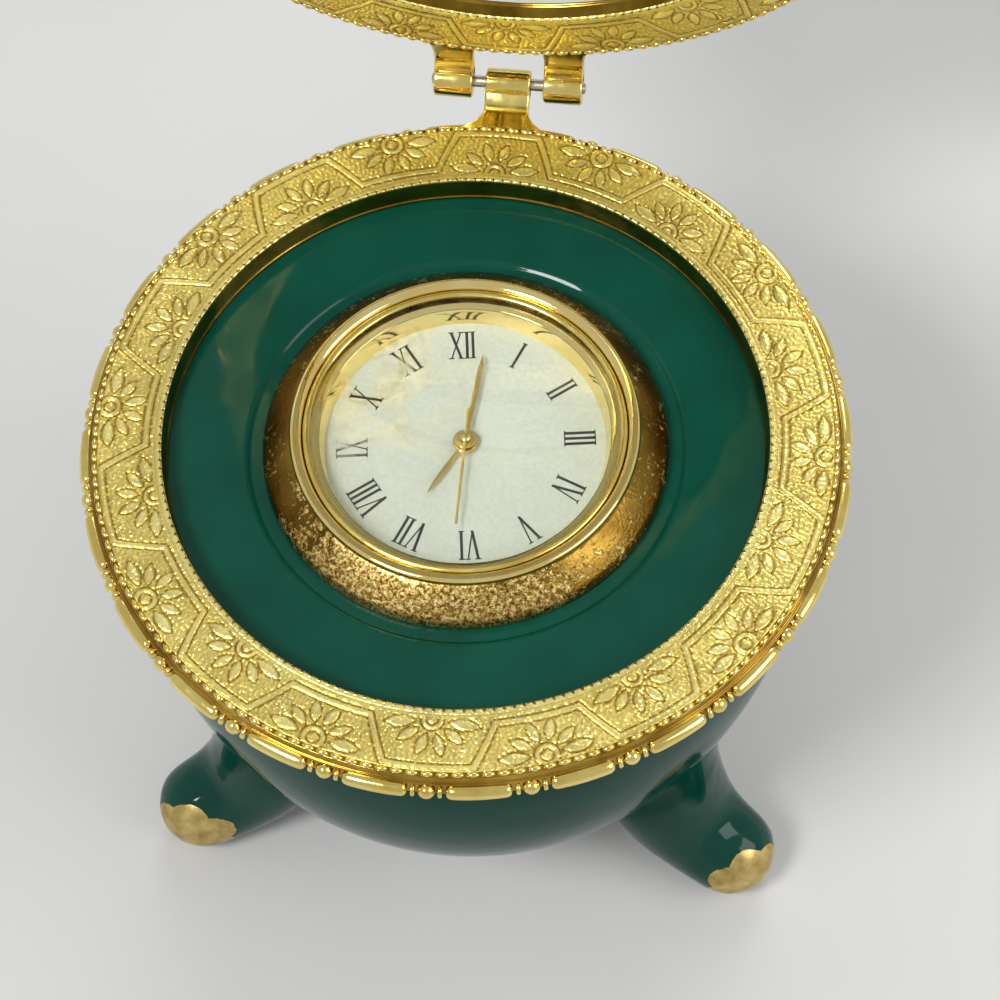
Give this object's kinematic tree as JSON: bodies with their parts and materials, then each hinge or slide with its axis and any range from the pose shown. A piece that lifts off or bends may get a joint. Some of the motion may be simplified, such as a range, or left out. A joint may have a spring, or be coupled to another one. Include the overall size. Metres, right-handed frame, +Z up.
{
  "type": "pendulette clock",
  "caption": "Egg-shaped porcelain box clock on a tripod of ball feet, with an embossed gilt rim, a domed hinged lid and a round quartz clock set in its deck.",
  "frame": {"origin": "middle of the footprint of the open clock, on the surface that it stands on", "axes": "+Z up, +Y from the bowl towards the hinge and the open lid, +X to the right seen from the front"},
  "size_m": [0.068, 0.1146, 0.1296],
  "materials": {
    "green_porcelain": "gloss",
    "gilt_metal": "polished and embossed, gilt",
    "crystal_glass": "clear",
    "dial_paint": "satin white",
    "hand_gilt": "gilt",
    "case_steel": "brushed",
    "crown_brass": "gilt",
    "movement_plastic": "matte moulded",
    "grip_plastic": "matte"
  },
  "bodies": {
    "bowl": {"porcelain_bowl": "green_porcelain", "bowl_rim": "gilt_metal", "deck_plate": "green_porcelain", "hinge_pin": "gilt_metal"},
    "lid": {"lid_shell": "green_porcelain", "lid_rim": "gilt_metal"},
    "clock_insert": {"bezel": "gilt_metal", "crystal": "crystal_glass", "reflector_ring": "gilt_metal", "dial": "dial_paint", "case_cup": "case_steel", "grip_ring": "grip_plastic", "movement": "movement_plastic", "battery": "case_steel", "battery_strap": "case_steel"},
    "case_back": {"back_cap": "case_steel"},
    "stem": {"setting_stem": "case_steel"},
    "crown": {"crown": "crown_brass"},
    "seconds": {"second_hand": "hand_gilt"},
    "minutes": {"minute_hand": "hand_gilt"},
    "hours": {"hour_hand": "hand_gilt"}
  },
  "joints": [
    {"name": "lid_hinge", "type": "hinge", "parent": "bowl", "child": "lid", "pos_m": [0, 0.01442, 0.05815], "axis": [1, 0, 0], "range_deg": [0, 83.4]},
    {"name": "insert_lift", "type": "slide", "parent": "bowl", "child": "clock_insert", "axis": [0, 0, 1], "range_m": [0, 0.012]},
    {"name": "back_cap_pull", "type": "slide", "parent": "clock_insert", "child": "case_back", "axis": [0, 0, -1], "range_m": [0, 0.005]},
    {"name": "stem_pull", "type": "slide", "parent": "clock_insert", "child": "stem", "axis": [0.9932, 0.1167, 0], "range_m": [0, 0.0007]},
    {"name": "crown_turn", "type": "hinge", "parent": "stem", "child": "crown", "pos_m": [0, -0.02323, 0.05353], "axis": [0.9932, 0.1167, 0], "continuous": true},
    {"name": "seconds_spin", "type": "hinge", "parent": "clock_insert", "child": "seconds", "pos_m": [0, -0.02323, 0.05505], "axis": [0, 0, -1], "continuous": true},
    {"name": "minutes_spin", "type": "hinge", "parent": "clock_insert", "child": "minutes", "pos_m": [0, -0.02323, 0.05505], "axis": [0, 0, -1], "continuous": true},
    {"name": "hours_spin", "type": "hinge", "parent": "clock_insert", "child": "hours", "pos_m": [0, -0.02323, 0.05505], "axis": [0, 0, -1], "continuous": true}
  ],
  "couplings": [
    {"joint": "minutes_spin", "follows": "seconds_spin", "ratio": 0.016667},
    {"joint": "hours_spin", "follows": "seconds_spin", "ratio": 0.0013889}
  ]
}
